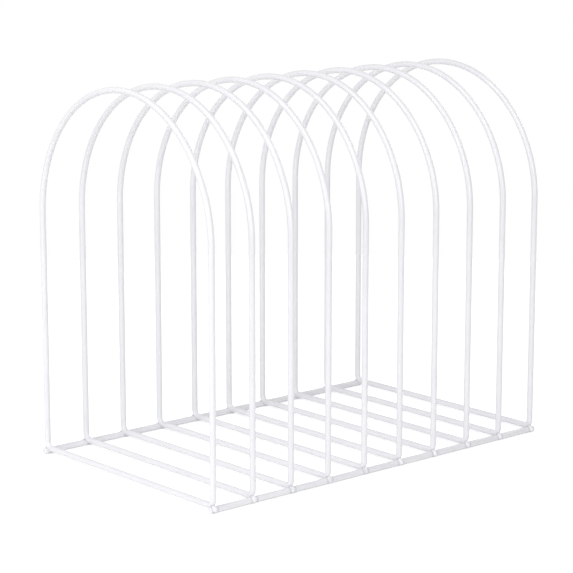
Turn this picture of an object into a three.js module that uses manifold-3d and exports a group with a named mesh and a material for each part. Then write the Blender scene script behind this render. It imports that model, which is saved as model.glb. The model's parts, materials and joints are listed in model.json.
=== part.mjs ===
// Wire file rack: ten closed wire loops standing in a row on two straight rails.
// Each loop is one bent wire: a cross wire along the bottom, a tight bend at each foot,
// two straight legs and a half-round top. The rails lie under the foot bends, towards their
// outer side, and are tack-welded there, so the rack is rigid and rests on its rails.
//
// Sizes are in millimetres. X runs along the rails, Y across the rack and Z up.
// The origin is on the surface that the rack stands on, below its middle.

import * as THREE from "three";
import { mergeVertices } from "three/addons/utils/BufferGeometryUtils.js";
import Module from "manifold-3d";

// Row of loops
const loopCount = 10;
const loopPitch = 36;

// One loop, measured on the axis of its wire
const loopWidth = 200;
const archSpringHeight = 182;
const footBendRadius = 5;
const wireDiameter = 4.6;

// Rails
const railDiameter = 4.8;
const railOverhang = 3.5;
const railEndChamfer = 0.4;
const railNestAngle = 35;

// Saddle that each foot bend leaves in the rail, and the clearance kept in it
const saddleDepth = 0.8;
const saddleClearance = 0.3;

// Weld bead on the outer face of the rail, with its upper end against the foot bend
const beadWidth = 4.4;
const beadThickness = 4.2;
const beadLength = 5.4;
const beadOutset = 1.5;
const beadRise = 0.8;
const beadLean = 45;

// Fineness of the facets
const wireSides = 10;
const railSides = 12;
const archSteps = 28;
const footBendSteps = 5;
const beadSides = 10;
const beadRings = 6;

// Powder coat
const coatColour = 0xf1f1f5;
const coatRoughness = 0.42;
const coatMetalness = 0;

const wasm = await Module();
wasm.setup();

const degrees = THREE.MathUtils.degToRad;
const legOffset = loopWidth / 2;
const archRadius = loopWidth / 2;
const rowLength = (loopCount - 1) * loopPitch;
const railLength = rowLength + 2 * railOverhang;

// Where the rail lies, seen from the point where the axes of leg and cross wire would cross:
// on a line from the centre of the foot bend, at the nest angle to the vertical, and far
// enough down it to leave the saddle depth.
const nestDistance = footBendRadius + wireDiameter / 2 + railDiameter / 2 + saddleClearance - saddleDepth;
const railOutset = nestDistance * Math.sin(degrees(railNestAngle)) - footBendRadius;
const railDrop = nestDistance * Math.cos(degrees(railNestAngle)) - footBendRadius;
const railHeight = railDiameter / 2;
const crossWireHeight = railHeight + railDrop;
const railSpacing = loopWidth + 2 * railOutset;

// A path in the plane of a loop, given by stations that each hold a point and a direction.
// Straight stretches have a station at each end only, and bends have one every few degrees.
class WirePath extends THREE.Curve {
  constructor(stations) {
    super();
    this.stations = stations;
  }

  stationAt(u) {
    return this.stations[Math.round(u * (this.stations.length - 1))];
  }

  getPoint(t, target = new THREE.Vector3()) {
    return target.copy(this.stationAt(t).point);
  }

  getPointAt(u, target = new THREE.Vector3()) {
    return this.getPoint(u, target);
  }

  getTangentAt(u, target = new THREE.Vector3()) {
    return target.copy(this.stationAt(u).direction);
  }
}

// A station at height z and distance y, looking along an angle measured from +Y towards +Z.
function station(y, z, angle) {
  return {
    point: new THREE.Vector3(0, y, z),
    direction: new THREE.Vector3(0, Math.cos(angle), Math.sin(angle)),
  };
}

// Stations along a bend that turns left, from one direction to another.
function bend(centreY, centreZ, radius, startAngle, endAngle, steps) {
  const stations = [];
  for (let i = 0; i <= steps; i += 1) {
    const angle = startAngle + ((endAngle - startAngle) * i) / steps;
    const y = centreY + radius * Math.sin(angle);
    const z = centreZ - radius * Math.cos(angle);
    stations.push(station(y, z, angle));
  }
  return stations;
}

// Bend at a foot: side 1 is the back of the rack and side -1 its front.
function footBend(side) {
  const centreY = side * (legOffset - footBendRadius);
  const centreZ = crossWireHeight + footBendRadius;
  const start = side > 0 ? 0 : 1.5 * Math.PI;
  return bend(centreY, centreZ, footBendRadius, start, start + Math.PI / 2, footBendSteps);
}

// The whole loop, from the middle of the cross wire round and back to it.
function loopPath() {
  const arch = bend(
    0,
    crossWireHeight + archSpringHeight,
    archRadius,
    Math.PI / 2,
    1.5 * Math.PI,
    archSteps,
  );
  const seam = station(0, crossWireHeight, 0);
  return new WirePath([seam, ...footBend(1), ...arch, ...footBend(-1), seam]);
}

// One foot alone: the bend with a short straight run before and after it.
function footPath(side) {
  const run = railDiameter + beadLength;
  const stations = footBend(side);
  const first = stations[0];
  const last = stations[stations.length - 1];
  const before = {
    point: first.point.clone().addScaledVector(first.direction, -run),
    direction: first.direction,
  };
  const after = {
    point: last.point.clone().addScaledVector(last.direction, run),
    direction: last.direction,
  };
  return new WirePath([before, ...stations, after]);
}

// A regular polygon whose width across its flats is the diameter of the round wire.
function wireSection(diameter, sides) {
  const cornerRadius = diameter / 2 / Math.cos(Math.PI / sides);
  const corners = [];
  for (let i = 0; i < sides; i += 1) {
    const angle = ((i + 0.5) * 2 * Math.PI) / sides;
    corners.push(new THREE.Vector2(cornerRadius * Math.cos(angle), cornerRadius * Math.sin(angle)));
  }
  return new THREE.Shape(corners);
}

function sweep(path, diameter) {
  const steps = path.stations.length - 1;
  return new THREE.ExtrudeGeometry(wireSection(diameter, wireSides), { extrudePath: path, steps });
}

// A closed wire: its first and last sections are the same, so its sides alone close up.
function closedSweep(path, diameter) {
  const swept = sweep(path, diameter);
  const sides = swept.groups[1];
  const corners = swept.getAttribute("position").array;
  const used = corners.slice(3 * sides.start, 3 * (sides.start + sides.count));
  const geometry = new THREE.BufferGeometry();
  geometry.setAttribute("position", new THREE.BufferAttribute(used, 3));
  return mergeVertices(geometry);
}

function toSolid(geometry) {
  const bare = geometry.clone();
  bare.deleteAttribute("normal");
  bare.deleteAttribute("uv");
  const merged = mergeVertices(bare);
  return new wasm.Manifold(
    new wasm.Mesh({
      numProp: 3,
      vertProperties: new Float32Array(merged.getAttribute("position").array),
      triVerts: new Uint32Array(merged.index.array),
    }),
  );
}

function toGeometry(solid) {
  const mesh = solid.getMesh();
  const geometry = new THREE.BufferGeometry();
  geometry.setAttribute("position", new THREE.BufferAttribute(mesh.vertProperties, 3));
  geometry.setIndex(new THREE.BufferAttribute(mesh.triVerts, 1));
  return geometry;
}

// A plain rail along X, centred on the origin, with lightly broken edges on its cut ends.
function railBar() {
  const geometry = new THREE.ExtrudeGeometry(wireSection(railDiameter, railSides), {
    depth: railLength - 2 * railEndChamfer,
    bevelThickness: railEndChamfer,
    bevelSize: railEndChamfer,
    bevelOffset: -railEndChamfer,
    bevelSegments: 1,
  });
  geometry.translate(0, 0, railEndChamfer - railLength / 2);
  geometry.rotateY(Math.PI / 2);
  return toSolid(geometry);
}

// A weld bead, placed from the axis of its rail and leaning against the leg above it.
function weldBead(side) {
  const geometry = new THREE.SphereGeometry(1, beadSides, beadRings);
  geometry.rotateY(Math.PI / beadSides);
  geometry.rotateX(Math.PI / 2);
  geometry.scale(beadWidth / 2, beadThickness / 2, beadLength / 2);
  geometry.rotateX(side * degrees(beadLean));
  geometry.translate(0, side * beadOutset, beadRise);
  return toSolid(geometry);
}

function loopX(index) {
  return index * loopPitch - rowLength / 2;
}

// A rail with its ten beads, less a saddle that follows each foot bend with clearance.
function railGeometry(side) {
  const railY = (side * railSpacing) / 2;
  const bead = weldBead(side).translate([0, railY, railHeight]);
  const foot = toSolid(sweep(footPath(side), wireDiameter + 2 * saddleClearance));
  let rail = railBar().translate([0, railY, railHeight]);
  for (let i = 0; i < loopCount; i += 1) {
    rail = rail.add(bead.translate([loopX(i), 0, 0]));
  }
  for (let i = 0; i < loopCount; i += 1) {
    rail = rail.subtract(foot.translate([loopX(i), 0, 0]));
  }
  return toGeometry(rail);
}

function coat() {
  return new THREE.MeshStandardMaterial({
    color: coatColour,
    roughness: coatRoughness,
    metalness: coatMetalness,
  });
}

function piece(name, geometry) {
  geometry.computeVertexNormals();
  const mesh = new THREE.Mesh(geometry, coat());
  mesh.name = name;
  return mesh;
}

const rack = new THREE.Group();
rack.name = "wire_file_rack";

const loopGeometry = closedSweep(loopPath(), wireDiameter);
for (let i = 0; i < loopCount; i += 1) {
  const number = String(i + 1).padStart(2, "0");
  const loop = piece(`loop_${number}`, loopGeometry.clone());
  loop.position.x = loopX(i);
  rack.add(loop);
}

rack.add(piece("rail_front", railGeometry(-1)));
rack.add(piece("rail_back", railGeometry(1)));

export default rack;
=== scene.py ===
import json
import random
from math import atan2, cos, hypot, pi, radians, sin

import bmesh
import bpy
from mathutils import Matrix, Vector, noise


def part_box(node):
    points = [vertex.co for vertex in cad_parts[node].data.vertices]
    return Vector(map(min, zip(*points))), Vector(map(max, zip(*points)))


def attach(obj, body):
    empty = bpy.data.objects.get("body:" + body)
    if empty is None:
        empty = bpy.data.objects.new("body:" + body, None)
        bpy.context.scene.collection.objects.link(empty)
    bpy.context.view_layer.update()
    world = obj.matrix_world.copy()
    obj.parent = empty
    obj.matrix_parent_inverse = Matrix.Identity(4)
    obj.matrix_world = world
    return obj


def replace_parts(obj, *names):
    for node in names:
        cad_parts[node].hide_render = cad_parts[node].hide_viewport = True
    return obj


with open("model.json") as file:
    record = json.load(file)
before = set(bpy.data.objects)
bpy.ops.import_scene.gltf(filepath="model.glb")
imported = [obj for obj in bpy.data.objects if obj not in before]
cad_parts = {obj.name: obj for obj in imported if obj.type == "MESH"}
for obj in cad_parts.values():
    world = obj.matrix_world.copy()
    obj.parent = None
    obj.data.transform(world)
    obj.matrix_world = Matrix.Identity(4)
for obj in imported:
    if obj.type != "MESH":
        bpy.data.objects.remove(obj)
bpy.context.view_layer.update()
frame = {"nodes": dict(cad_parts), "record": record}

# The camera stands where the rack was photographed from: to the left of its front corner, a little
# above it and about 1.6 m away, held level, with a long lens. Its place, its aim and the length of
# the lens were fitted to the legs, the arches, the cross wires and the rails.
photo_side_pixels = 573
focal_length_pixels = 2126.1
camera_place = Vector((-1.0583, -1.2038, 0.4501))
camera_azimuth = radians(-41.134)
camera_elevation = radians(11.489)

lens = bpy.data.cameras.new("camera")
lens.lens = lens.sensor_width * focal_length_pixels / photo_side_pixels
camera = bpy.data.objects.new("camera", lens)
camera.matrix_world = (
    Matrix.Translation(camera_place)
    @ Matrix.Rotation(camera_azimuth, 4, "Z")
    @ Matrix.Rotation(pi / 2 - camera_elevation, 4, "X")
)
bpy.context.collection.objects.link(camera)
bpy.context.scene.camera = camera
bpy.context.scene.view_settings.view_transform = "Standard"


# The whole rack is powder-coated in one go after welding. The coat is white with a breath of blue,
# semi-gloss, with a fine orange peel. The weld beads are painted whiter, a painted highlight, and a
# ring of crevices round them is painted grey, a painted shade. The rails are rubbed slightly duller
# and greyer where they stand on a desk.
class Signal:
    """A number, colour or vector that a shader node gives, for use in a formula."""

    def __init__(self, finish, socket):
        self.finish = finish
        self.socket = socket

    def math(self, operation, *terms):
        return self.finish.node("Math", {"operation": operation}, dict(enumerate(terms)))

    def __add__(self, other):
        return self.math("ADD", self, other)

    def __radd__(self, other):
        return self.math("ADD", other, self)

    def __sub__(self, other):
        return self.math("SUBTRACT", self, other)

    def __rsub__(self, other):
        return self.math("SUBTRACT", other, self)

    def __mul__(self, other):
        return self.math("MULTIPLY", self, other)

    def __rmul__(self, other):
        return self.math("MULTIPLY", other, self)

    def __truediv__(self, other):
        return self.math("DIVIDE", self, other)

    def __abs__(self):
        return self.math("ABSOLUTE", self)

    def __pow__(self, other):
        return self.math("POWER", self, other)


class Finish:
    """The node tree of a material or of the world, filled node by node."""

    def __init__(self, owner):
        owner.use_nodes = True
        self.tree = owner.node_tree
        self.tree.nodes.clear()

    def node(self, kind, settings=None, values=None, output=0):
        """Adds a node, sets it, fills its sockets by name or number and returns one output."""
        made = self.tree.nodes.new("ShaderNode" + kind)
        for name, setting in (settings or {}).items():
            setattr(made, name, setting)
        for key, value in (values or {}).items():
            if isinstance(value, Signal):
                self.tree.links.new(value.socket, made.inputs[key])
            else:
                made.inputs[key].default_value = value
        return Signal(self, made.outputs[output]) if len(made.outputs) else None

    def smooth_step(self, number, start, end):
        """0 where the number is at start or before it, 1 where it is at end or past it."""
        ramp = {"Value": number, "From Min": start, "From Max": end}
        return self.node("MapRange", {"interpolation_type": "SMOOTHSTEP"}, ramp)

    def blend(self, factor, first, second):
        """A colour between two others."""
        values = {"Factor": factor, 6: first, 7: second}
        return self.node("Mix", {"data_type": "RGBA"}, values, output=2)


def colour(red, green, blue):
    return (red, green, blue, 1.0)


loop_names = sorted(name for name in frame["nodes"] if name.startswith("loop_"))
first_low, first_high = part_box(loop_names[0])
last_low, last_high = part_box(loop_names[-1])
first_loop_x = (first_low.x + first_high.x) / 2
last_loop_x = (last_low.x + last_high.x) / 2
loop_pitch = (last_loop_x - first_loop_x) / (len(loop_names) - 1)

rail_mounts = {mount["name"]: Vector(mount["pos_m"]) for mount in frame["record"]["mounts"]}
rail_y = abs(rail_mounts["front_rail_underside"].y)
rail_diameter = 0.0048
rail_radius = rail_diameter / 2

coat_white = colour(0.868, 0.870, 0.897)
coat_shade = colour(0.835, 0.838, 0.871)
# A grey used twice: as painted shade in the crevices round the beads, and as rubbed wear under the rails.
painted_shade_and_wear_grey = colour(0.50, 0.51, 0.54)
peel_waves_per_metre = 620
fine_peel_per_metre = 2100
fine_peel_share = 0.1
blotches_per_metre = 34
peel_depth = 0.000005
peel_strength = 0.7
coat_roughness = 0.20
roughness_spread = 0.05
bead_smoothing = 0.06
crevice_roughening = 0.12
rubbed_roughening = 0.15
coat_ior = 1.5
rubbed_height = 0.0005
shade_share = 0.6
bead_painted_highlight_share = 0.8
crevice_painted_shade_share = 0.5
crevice_painted_shade_spread = 0.3
rubbed_grey_share = 0.35
bead_width = 0.0044
bead_thickness = 0.0041
bead_length = 0.0052
bead_outset = 0.00140
bead_rise = 0.00080
bead_lean = radians(45)
bead_rim = (1.02, 1.12)
crevice_near_rim = (1.02, 1.16)
crevice_far_rim = (1.25, 1.70)
blotch_rim = (0.35, 0.65)
rubbed_rim = (0.4, 0.6)


def powder_coat():
    material = bpy.data.materials.new("powder_coat")
    coat = Finish(material)
    place = coat.node("TexCoord", output=3)
    x, y, z = (coat.node("SeparateXYZ", values={0: place}, output=i) for i in range(3))

    # Distance from the middle of the nearest weld bead, as a share of the bead's own size: 1 on its
    # surface. The beads repeat along the rails with the loops.
    along = coat.node(
        "Math",
        {"operation": "PINGPONG"},
        {0: x - first_loop_x, 1: loop_pitch / 2},
    )
    out = abs(y) - (rail_y + bead_outset)
    rise = z - (rail_radius + bead_rise)
    thick = (out * cos(bead_lean) + rise * sin(bead_lean)) / (bead_thickness / 2)
    long = (rise * cos(bead_lean) - out * sin(bead_lean)) / (bead_length / 2)
    wide = along / (bead_width / 2)
    reach = (thick * thick + long * long + wide * wide) ** 0.5
    bead_metal = 1 - coat.smooth_step(reach, *bead_rim)
    past_bead = coat.smooth_step(reach, *crevice_near_rim)
    crevice = past_bead * (1 - coat.smooth_step(reach, *crevice_far_rim))

    waves = coat.node("TexNoise", values={"Vector": place, "Scale": peel_waves_per_metre, "Detail": 2.0})
    fine = coat.node("TexNoise", values={"Vector": place, "Scale": fine_peel_per_metre, "Detail": 1.0})
    blotches = coat.node("TexNoise", values={"Vector": place, "Scale": blotches_per_metre, "Detail": 4.0})
    patchy = coat.smooth_step(blotches, *blotch_rim)
    underside = 1 - coat.smooth_step(z, 0.0, rubbed_height)
    rubbed = underside * coat.smooth_step(waves, *rubbed_rim)

    base = coat.blend(patchy * shade_share, coat_white, coat_shade)
    # The beads are painted whiter than the coat round them: a painted highlight.
    base = coat.blend(bead_metal * bead_painted_highlight_share, base, coat_white)
    # A ring of crevices round each bead is painted grey: painted shade where bead, rail and wire meet.
    painted_crevice_shade = crevice * (crevice_painted_shade_share + crevice_painted_shade_spread * waves)
    base = coat.blend(painted_crevice_shade, base, painted_shade_and_wear_grey)
    base = coat.blend(rubbed * rubbed_grey_share, base, painted_shade_and_wear_grey)
    roughness = coat_roughness + roughness_spread * (waves - 0.5)
    roughness = roughness + crevice_roughening * crevice + rubbed_roughening * rubbed
    roughness = roughness - bead_smoothing * bead_metal
    relief = waves + fine_peel_share * fine
    bump = coat.node(
        "Bump",
        values={"Strength": peel_strength, "Distance": peel_depth, "Height": relief},
    )
    surface = coat.node(
        "BsdfPrincipled",
        values={"Base Color": base, "Roughness": roughness, "IOR": coat_ior, "Normal": bump},
    )
    coat.node("OutputMaterial", values={"Surface": surface})
    return material


coat_material = powder_coat()


# Ten loops, each bent from one length of round steel wire whose ends are butt-welded and dressed
# flush: a cross wire, a tight bend at each foot, two legs and a half-round arch. The wire is pressed
# slightly flat on the outside of the tight bends.
wire_diameter = 0.0046
foot_bend_radius = 0.005
foot_flattening = 0.07
wire_sides = 28
arch_steps = 96
foot_bend_steps = 14
seam_reach = 0.000046


def each_once(items):
    """The items without repeats, in the order they came. A set's order would change from run to run."""
    return list(dict.fromkeys(items))


def ring_edges(geometry):
    return [item for item in geometry if isinstance(item, bmesh.types.BMEdge)]


def ring_verts(ring):
    return each_once(vert for edge in ring for vert in edge.verts)


def run_straight(mesh, ring, way):
    """Draws a ring of wire out in a straight line and returns the ring at its end."""
    drawn = bmesh.ops.extrude_edge_only(mesh, edges=ring)["geom"]
    moved = [item for item in drawn if isinstance(item, bmesh.types.BMVert)]
    bmesh.ops.translate(mesh, vec=way, verts=moved)
    return [edge for edge in ring_edges(drawn) if all(vert in moved for vert in edge.verts)]


def run_round(mesh, ring, centre, angle, steps):
    """Bends a ring of wire round a centre, in the plane of the loop, and returns its last ring."""
    bent = bmesh.ops.spin(
        mesh,
        geom=ring,
        cent=centre,
        axis=Vector((1, 0, 0)),
        dvec=Vector((0, 0, 0)),
        angle=angle,
        steps=steps,
        use_merge=False,
        use_duplicate=False,
    )["geom_last"]
    return ring_edges(bent)


def wire_ring(mesh, radius, sides, centre, turn):
    """A circle of wire, facing along Y once turned by a rotation."""
    place = Matrix.Translation(centre) @ turn
    made = bmesh.ops.create_circle(mesh, segments=sides, radius=radius, cap_ends=False, matrix=place)
    return each_once(edge for vert in made["verts"] for edge in vert.link_edges)


def finished_piece(name, mesh):
    """Turns a bmesh into a smooth object that rides on the rack."""
    data = bpy.data.meshes.new(name)
    mesh.to_mesh(data)
    mesh.free()
    for face in data.polygons:
        face.use_smooth = True
    data.materials.append(coat_material)
    piece = bpy.data.objects.new(name, data)
    bpy.context.collection.objects.link(piece)
    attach(piece, "root")
    return piece


wire_radius = wire_diameter / 2
across_loop = Matrix.Rotation(pi / 2, 4, "X")


def wire_loop(node):
    low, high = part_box(node)
    x = (low.x + high.x) / 2
    leg_y = high.y - wire_radius
    cross_z = low.z + wire_radius
    spring_z = high.z - wire_radius - leg_y
    foot_y = leg_y - foot_bend_radius
    foot_z = cross_z + foot_bend_radius
    leg_run = Vector((0, 0, spring_z - foot_z))

    mesh = bmesh.new()
    ring = wire_ring(mesh, wire_radius, wire_sides, Vector((x, 0, cross_z)), across_loop)
    ring = run_straight(mesh, ring, Vector((0, foot_y, 0)))
    ring = run_round(mesh, ring, Vector((x, foot_y, foot_z)), pi / 2, foot_bend_steps)
    ring = run_straight(mesh, ring, leg_run)
    ring = run_round(mesh, ring, Vector((x, 0, spring_z)), pi, arch_steps)
    ring = run_straight(mesh, ring, -leg_run)
    ring = run_round(mesh, ring, Vector((x, -foot_y, foot_z)), pi / 2, foot_bend_steps)
    run_straight(mesh, ring, Vector((0, foot_y, 0)))
    bmesh.ops.remove_doubles(mesh, verts=mesh.verts, dist=seam_reach)
    flatten_foot_bends(mesh, foot_y, foot_z)
    bmesh.ops.recalc_face_normals(mesh, faces=mesh.faces)
    return finished_piece(node + "_wire", mesh)


def flatten_foot_bends(mesh, foot_y, foot_z):
    """Presses the outer half of each foot bend slightly flat, most in the middle of the bend."""
    for vert in mesh.verts:
        side = 1 if vert.co.y > 0 else -1
        out = side * vert.co.y - foot_y
        down = foot_z - vert.co.z
        if out <= 0 or down <= 0:
            continue
        distance = hypot(out, down)
        height = distance - foot_bend_radius
        if height <= 0:
            continue
        share = sin(2 * atan2(down, out))
        pressed = foot_bend_radius + height * (1 - foot_flattening * share)
        vert.co.y = side * (foot_y + out * pressed / distance)
        vert.co.z = foot_z - down * pressed / distance


for node in loop_names:
    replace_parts(wire_loop(node), node)


# Two straight rails of slightly thicker wire, sawn to length. They lie under the foot bends, towards
# their outer side, and carry the rack. Their cut ends are flat, with a round edge of built-up coat.
rail_sides = 36
rail_end_rounding = 0.0006
rail_end_segments = 4


def rail_bar(node):
    low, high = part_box(node)
    side = 1 if high.y + low.y > 0 else -1
    start = Vector((low.x, side * rail_y, rail_radius))
    mesh = bmesh.new()
    ring = wire_ring(mesh, rail_radius, rail_sides, start, Matrix.Rotation(pi / 2, 4, "Y"))
    last = run_straight(mesh, ring, Vector((high.x - low.x, 0, 0)))
    for rim in (ring, last):
        bmesh.ops.contextual_create(mesh, geom=rim)
    bmesh.ops.bevel(
        mesh,
        geom=ring + last,
        offset=rail_end_rounding,
        offset_type="OFFSET",
        affect="EDGES",
        segments=rail_end_segments,
        profile=0.5,
        material=-1,
    )
    bmesh.ops.recalc_face_normals(mesh, faces=mesh.faces)
    bar = finished_piece(node + "_bar", mesh)
    for face in bar.data.polygons:
        face.use_smooth = len(face.vertices) < rail_sides
    return bar


for node in ("rail_front", "rail_back"):
    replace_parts(rail_bar(node), node)


# Twenty tack welds, one on the outer face of a rail under each leg. Each is a small round bead that
# wets both the rail and the foot bend, so a short collar of each is fused with it and smoothed.
bead_size_spread = 0.03
bead_shift_spread = 0.0004
bead_lean_spread = 0.1
bead_subdivisions = 4
bead_lump_height = 0.00012
bead_lumps_per_metre = 420
collar_swell = 0.00002
collar_taper = 0.00022
collar_lift = 1.2 * collar_swell
collar_bend_steps = 8
rail_collar_length = 0.0062
wire_collar_run = 0.0030
weld_voxel = 0.00022
weld_smoothing = 2
weld_smoothing_share = 0.5
collar_sides = 24
chance = random.Random(7)


def tapered(mesh, ring, change, centre):
    """Draws a ring in or out round its centre."""
    verts = ring_verts(ring)
    radius = (verts[0].co - centre).length
    factor = (radius + change) / radius
    bmesh.ops.scale(mesh, vec=(factor,) * 3, space=Matrix.Translation(-centre), verts=verts)


def ring_centre(ring):
    verts = ring_verts(ring)
    return sum((vert.co for vert in verts), Vector()) / len(verts)


def rail_collar(mesh, x, side):
    """A short stretch of the rail, thicker in its middle than the bar and raised to stay off the desk."""
    raised = rail_radius + collar_lift
    start = Vector((x - rail_collar_length / 2, side * rail_y, raised))
    swell = (-collar_taper, 0.0, collar_swell, 0.0, -collar_taper)
    step = Vector((rail_collar_length / (len(swell) - 1), 0, 0))
    turn = Matrix.Rotation(pi / 2, 4, "Y")
    rings = [wire_ring(mesh, rail_radius, collar_sides, start, turn)]
    while len(rings) < len(swell):
        rings.append(run_straight(mesh, rings[-1], step))
    for ring, change in zip(rings, swell):
        tapered(mesh, ring, change, ring_centre(ring))
    for rim in (rings[0], rings[-1]):
        bmesh.ops.contextual_create(mesh, geom=rim)


def foot_collar(mesh, x, side, leg_y, cross_z):
    """The tight bend of the wire, a little thicker in its middle than the wire that it wraps."""
    foot_y = leg_y - foot_bend_radius
    foot_z = cross_z + foot_bend_radius
    start = Vector((x, side * (foot_y - wire_collar_run), cross_z))
    middle = Vector((x, side * foot_y, foot_z))
    first = wire_ring(mesh, wire_radius, collar_sides, start, across_loop)
    ring = run_straight(mesh, first, Vector((0, side * wire_collar_run, 0)))
    ring = run_round(mesh, ring, middle, side * pi / 2, collar_bend_steps)
    last = run_straight(mesh, ring, Vector((0, 0, wire_collar_run)))
    for rim in (first, last):
        tapered(mesh, rim, -collar_taper, ring_centre(rim))
        bmesh.ops.contextual_create(mesh, geom=rim)


def bead(mesh, x, side):
    """The ball of weld metal, leaning in against the leg, with its own size and lumps."""
    size = 1 + chance.uniform(-bead_size_spread, bead_size_spread)
    ball = bmesh.ops.create_icosphere(mesh, subdivisions=bead_subdivisions, radius=0.5)["verts"]
    shape = Matrix.Diagonal((bead_width * size, bead_thickness * size, bead_length * size, 1))
    own_lean = side * bead_lean + chance.uniform(-bead_lean_spread, bead_lean_spread)
    lean = Matrix.Rotation(own_lean, 4, "X")
    centre = Vector(
        (
            x + chance.uniform(-bead_shift_spread, bead_shift_spread),
            side * (rail_y + bead_outset),
            rail_radius + bead_rise,
        )
    )
    bmesh.ops.transform(mesh, matrix=Matrix.Translation(centre) @ lean @ shape, verts=ball)
    for vert in ball:
        lump = noise.noise(vert.co * bead_lumps_per_metre)
        vert.co += (vert.co - centre).normalized() * lump * bead_lump_height


def tack_weld(name, x, side, leg_y, cross_z):
    """Melts a rail collar, a foot collar and a bead into one closed skin and smooths it."""
    mesh = bmesh.new()
    rail_collar(mesh, x, side)
    foot_collar(mesh, x, side, leg_y, cross_z)
    bead(mesh, x, side)
    bmesh.ops.recalc_face_normals(mesh, faces=mesh.faces)
    data = bpy.data.meshes.new(name + "_rough")
    mesh.to_mesh(data)
    mesh.free()
    rough = bpy.data.objects.new(name + "_rough", data)
    bpy.context.collection.objects.link(rough)
    melt = rough.modifiers.new("melt", "REMESH")
    melt.mode = "VOXEL"
    melt.voxel_size = weld_voxel
    melted = rough.evaluated_get(bpy.context.evaluated_depsgraph_get()).to_mesh()
    mesh = bmesh.new()
    mesh.from_mesh(melted)
    bpy.data.objects.remove(rough)
    for _ in range(weld_smoothing):
        bmesh.ops.smooth_vert(
            mesh,
            verts=mesh.verts,
            factor=weld_smoothing_share,
            use_axis_x=True,
            use_axis_y=True,
            use_axis_z=True,
        )
    return finished_piece(name, mesh)


for node, rail_side in (("rail_front", -1), ("rail_back", 1)):
    for number, loop_name in enumerate(loop_names, start=1):
        low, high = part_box(loop_name)
        leg = high.y - wire_radius
        cross = low.z + wire_radius
        tack_weld(f"{node}_weld_{number:02d}", (low.x + high.x) / 2, rail_side, leg, cross)


# The rack stands on a plain white table in a small white studio. Five square soft lamps light it:
# two high ones, to the left and over the camera, two low and wide ones in front, and one behind the
# rack to the right. The room gives the rest of the light evenly.
table_radius = 0.8
table_sides = 64
table_white = colour(0.93, 0.93, 0.93)
table_glow = 0.45
ambient_level = 0.41
lamp_aim = Vector((0, 0, 0.12))
lamp_distance = 1.7


def background_seen(finish):
    """1 on rays that show the white background: from the camera, by reflection or through glass."""
    camera_ray, glossy_ray, clear_ray = (finish.node("LightPath", output=i) for i in (0, 3, 6))
    seen = finish.node("Math", {"operation": "MAXIMUM"}, {0: camera_ray, 1: glossy_ray})
    return finish.node("Math", {"operation": "MAXIMUM"}, {0: seen, 1: clear_ray})


mesh = bmesh.new()
bmesh.ops.create_circle(mesh, cap_ends=True, segments=table_sides, radius=table_radius)
table_data = bpy.data.meshes.new("table_top")
mesh.to_mesh(table_data)
mesh.free()
table_top = bpy.data.objects.new("table_top", table_data)
bpy.context.collection.objects.link(table_top)

table_material = bpy.data.materials.new("white_table")
table = Finish(table_material)
matt = table.node("BsdfDiffuse", values={"Color": table_white})
glow_level = table_glow * background_seen(table)
glow = table.node("Emission", values={"Color": colour(1, 1, 1), "Strength": glow_level})
lit = table.node("AddShader", values={0: matt, 1: glow})
table.node("OutputMaterial", values={"Surface": lit})
table_material.cycles.emission_sampling = "NONE"
table_data.materials.append(table_material)

world = bpy.data.worlds.new("studio")
bpy.context.scene.world = world
studio = Finish(world)
level = ambient_level + (1 - ambient_level) * background_seen(studio)
air = studio.node("Background", values={"Color": colour(1, 1, 1), "Strength": level})
studio.node("OutputWorld", values={"Surface": air})
world.cycles.sampling_method = "NONE"


def soft_lamp(name, turn, height, side, watts):
    """A square soft lamp, at a turn to the right of the camera's side and at a height, in degrees."""
    light = bpy.data.lights.new(name, "AREA")
    light.shape = "SQUARE"
    light.size = side
    light.energy = watts
    lamp = bpy.data.objects.new(name, light)
    camera_side = camera_azimuth - pi / 2
    way = Vector((cos(camera_side + radians(turn)), sin(camera_side + radians(turn)), 0))
    way = way * cos(radians(height)) + Vector((0, 0, sin(radians(height))))
    lamp.location = lamp_aim + way * lamp_distance
    lamp.rotation_mode = "QUATERNION"
    lamp.rotation_quaternion = (-way).to_track_quat("-Z", "Y")
    lamp.visible_camera = False
    bpy.context.collection.objects.link(lamp)


soft_lamp("key_lamp", -60, 45, 0.5, 5.2)
soft_lamp("high_front_lamp", -10, 45, 0.6, 5.3)
soft_lamp("low_left_lamp", -45, 12, 0.8, 5.1)
soft_lamp("low_front_lamp", 22, 12, 0.8, 6.9)
soft_lamp("back_lamp", 140, 20, 0.9, 5.2)
